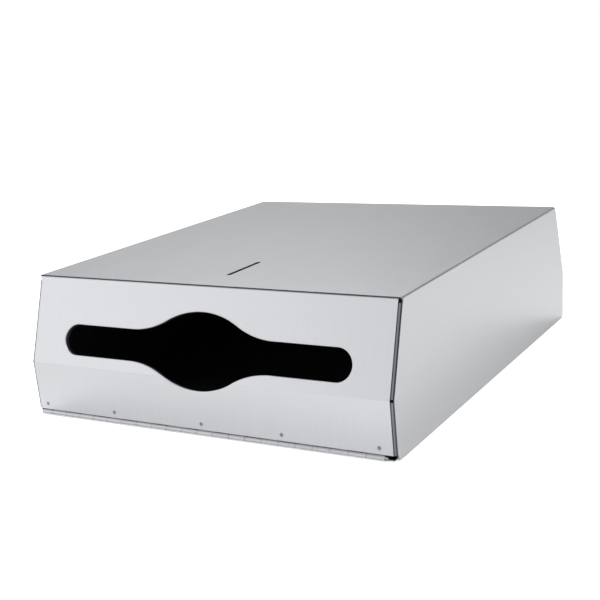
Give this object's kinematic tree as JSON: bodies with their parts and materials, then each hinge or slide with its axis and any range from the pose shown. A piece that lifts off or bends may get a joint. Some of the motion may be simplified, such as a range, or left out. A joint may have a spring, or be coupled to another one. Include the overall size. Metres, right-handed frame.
{
  "type": "paper towel dispenser",
  "caption": "Wall-mounted folded paper towel dispenser in satin stainless sheet: hinged cover, slotted towel tray with a finger opening, refill slit and key lock.",
  "frame": {"origin": "centre of the footprint, on the back face that goes against the wall", "axes": "+Z out of the wall towards the front panel, -Y towards the towel tray, +Y towards the lock, +X to the right as seen from the tray"},
  "size_m": [0.286, 0.357, 0.1],
  "materials": {
    "cover_steel": "satin stainless sheet, grain along the length",
    "tray_steel": "satin stainless sheet, grain across the fold",
    "plate_steel": "mill-finish stainless sheet",
    "bracket_steel": "plain folded steel, spot welded",
    "hinge_steel": "rolled stainless strip",
    "pin_steel": "drawn steel wire",
    "lock_chrome": "chrome plated zinc casting",
    "plug_chrome": "chrome plated zinc casting",
    "nut_zinc": "zinc plated steel",
    "zinc_steel": "zinc plated steel",
    "screw_steel": "zinc plated steel",
    "wafer_brass": "stamped brass"
  },
  "bodies": {
    "back": {"back_plate": "plate_steel", "strike_bracket": "bracket_steel", "hinge_back_leaf": "hinge_steel", "hinge_pin": "pin_steel"},
    "cover": {"cover_shell": "cover_steel", "towel_tray": "tray_steel", "hinge_tray_leaf": "hinge_steel", "lock_barrel": "lock_chrome", "lock_nut": "nut_zinc"},
    "plug": {"lock_plug": "plug_chrome", "stop_washer": "zinc_steel", "lock_cam": "zinc_steel", "spring_washer": "zinc_steel", "cam_screw": "screw_steel", "lock_wafer_1": "wafer_brass", "lock_wafer_2": "wafer_brass", "lock_wafer_3": "wafer_brass", "lock_wafer_4": "wafer_brass", "lock_wafer_5": "wafer_brass"}
  },
  "joints": [
    {"name": "cover_swing", "type": "hinge", "parent": "back", "child": "cover", "pos_m": [0, -0.17674, 0.0024], "axis": [1, 0, 0], "range_deg": [0, 90]},
    {"name": "lock_turn", "type": "hinge", "parent": "cover", "child": "plug", "pos_m": [0, 0.17648, 0.02], "axis": [0, 0.9988, -0.0499], "range_deg": [0, 90]}
  ]
}
